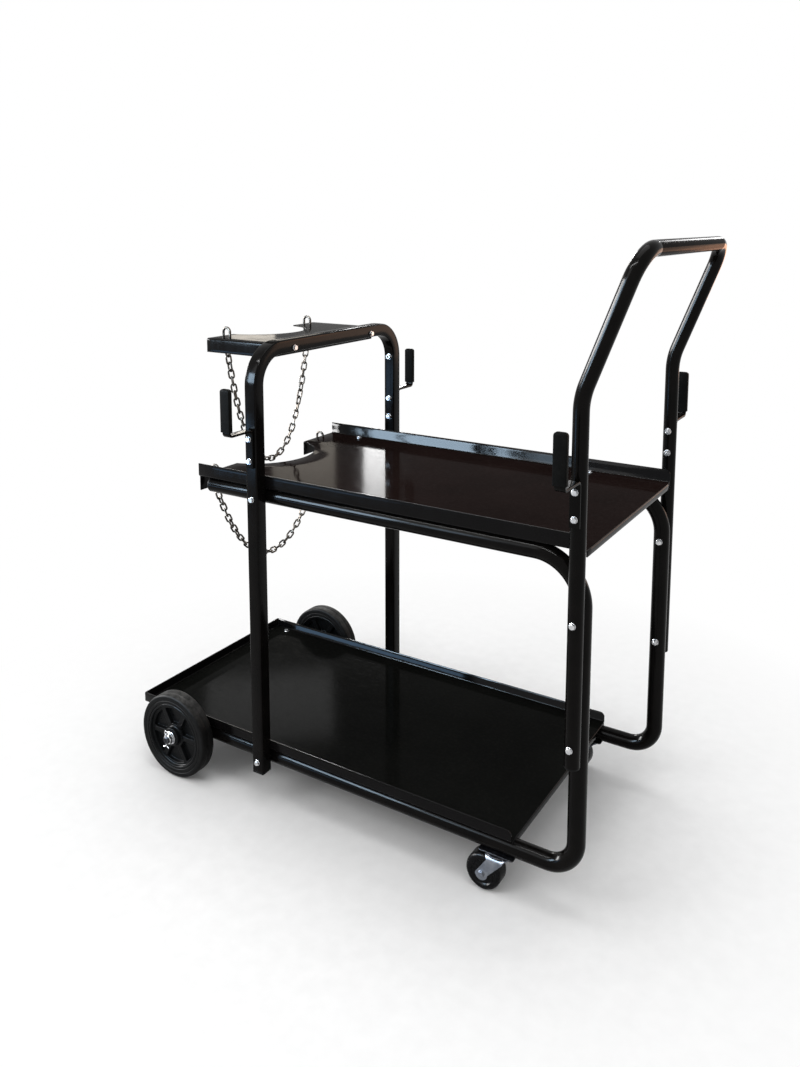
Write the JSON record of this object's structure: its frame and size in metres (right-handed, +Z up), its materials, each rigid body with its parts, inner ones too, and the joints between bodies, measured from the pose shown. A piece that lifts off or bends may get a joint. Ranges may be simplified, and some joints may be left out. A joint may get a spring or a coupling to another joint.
{
  "type": "welding cart",
  "caption": "Two-shelf welding cart of bent steel tube with a push handle, gas bottle stand with chains, cable hooks, rear wheels and swivel casters.",
  "frame": {"origin": "on the floor under the middle of the whole cart's outline", "axes": "+X towards the push handle, +Y to the right of the person who pushes, +Z up"},
  "size_m": [0.993, 0.5868, 1.0226],
  "materials": {
    "frame_paint": "gloss black powder coat",
    "sheet_paint": "gloss black powder coat on folded sheet",
    "zinc_hardware": "bright zinc plate",
    "grip_rubber": "matt black moulded rubber",
    "tyre_rubber": "matt black solid rubber",
    "wheel_plastic": "satin black moulded plastic",
    "caster_rubber": "satin black hard rubber",
    "plug_plastic": "matt black moulded plastic",
    "chain_steel": "dull zinc-plated wire"
  },
  "bodies": {
    "frame": {"rear_frame": "frame_paint", "side_frame_left": "frame_paint", "side_frame_right": "frame_paint", "push_handle": "frame_paint", "upper_tray": "sheet_paint", "lower_tray": "sheet_paint", "bottle_bracket": "sheet_paint", "post_hook_left": "frame_paint", "handle_hook_left": "frame_paint", "post_hook_right": "frame_paint", "handle_hook_right": "frame_paint", "rear_axle": "zinc_hardware", "post_bolt_upper_left": "zinc_hardware", "post_bolt_lower_left": "zinc_hardware", "handle_bolt_upper_left": "zinc_hardware", "handle_bolt_lower_left": "zinc_hardware", "bracket_bolt_left": "zinc_hardware", "axle_spacer_left": "zinc_hardware", "axle_nut_left": "zinc_hardware", "caster_plate_left": "zinc_hardware", "post_bolt_upper_right": "zinc_hardware", "post_bolt_lower_right": "zinc_hardware", "handle_bolt_upper_right": "zinc_hardware", "handle_bolt_lower_right": "zinc_hardware", "bracket_bolt_right": "zinc_hardware", "axle_spacer_right": "zinc_hardware", "axle_nut_right": "zinc_hardware", "caster_plate_right": "zinc_hardware", "post_hook_grip_left": "grip_rubber", "handle_hook_grip_left": "grip_rubber", "post_hook_grip_right": "grip_rubber", "handle_hook_grip_right": "grip_rubber", "upper_run_plug_left": "plug_plastic", "lower_run_plug_left": "plug_plastic", "handle_plug_left": "plug_plastic", "post_plug_left": "plug_plastic", "upper_run_plug_right": "plug_plastic", "lower_run_plug_right": "plug_plastic", "handle_plug_right": "plug_plastic", "post_plug_right": "plug_plastic", "bracket_ring_left": "chain_steel", "tray_ring_left": "chain_steel", "bracket_ring_right": "chain_steel", "tray_ring_right": "chain_steel"},
    "wheel_left": {"wheel_tyre_left": "tyre_rubber", "wheel_rim_left": "wheel_plastic"},
    "caster_left": {"caster_fork_left": "zinc_hardware", "caster_axle_left": "zinc_hardware"},
    "caster_roller_left": {"caster_wheel_left": "caster_rubber"},
    "wheel_right": {"wheel_tyre_right": "tyre_rubber", "wheel_rim_right": "wheel_plastic"},
    "caster_right": {"caster_fork_right": "zinc_hardware", "caster_axle_right": "zinc_hardware"},
    "caster_roller_right": {"caster_wheel_right": "caster_rubber"},
    "chain_upper": {"chain_upper": "chain_steel"},
    "chain_lower": {"chain_lower": "chain_steel"}
  },
  "joints": [
    {"name": "wheel_left_spin", "type": "hinge", "parent": "frame", "child": "wheel_left", "pos_m": [-0.37861, -0.2335, 0.0798], "axis": [0, 1, 0], "continuous": true},
    {"name": "wheel_right_spin", "type": "hinge", "parent": "frame", "child": "wheel_right", "pos_m": [-0.37861, 0.2335, 0.0798], "axis": [0, 1, 0], "continuous": true},
    {"name": "caster_left_swivel", "type": "hinge", "parent": "frame", "child": "caster_left", "pos_m": [0.27939, -0.1925, 0.0637], "axis": [0, 0, 1], "continuous": true},
    {"name": "caster_left_roll", "type": "hinge", "parent": "caster_left", "child": "caster_roller_left", "pos_m": [0.25739, -0.1925, 0.03], "axis": [0, 1, 0], "continuous": true},
    {"name": "caster_right_swivel", "type": "hinge", "parent": "frame", "child": "caster_right", "pos_m": [0.27939, 0.1925, 0.0637], "axis": [0, 0, 1], "continuous": true},
    {"name": "caster_right_roll", "type": "hinge", "parent": "caster_right", "child": "caster_roller_right", "pos_m": [0.25739, 0.1925, 0.03], "axis": [0, 1, 0], "continuous": true},
    {"name": "chain_upper_swing", "type": "hinge", "parent": "frame", "child": "chain_upper", "pos_m": [-0.33161, 0, 0.82355], "axis": [0, 1, 0], "range_deg": [-15, 60]},
    {"name": "chain_lower_swing", "type": "hinge", "parent": "frame", "child": "chain_lower", "pos_m": [-0.33161, 0, 0.5691], "axis": [0, 1, 0], "range_deg": [-50, 50]}
  ]
}
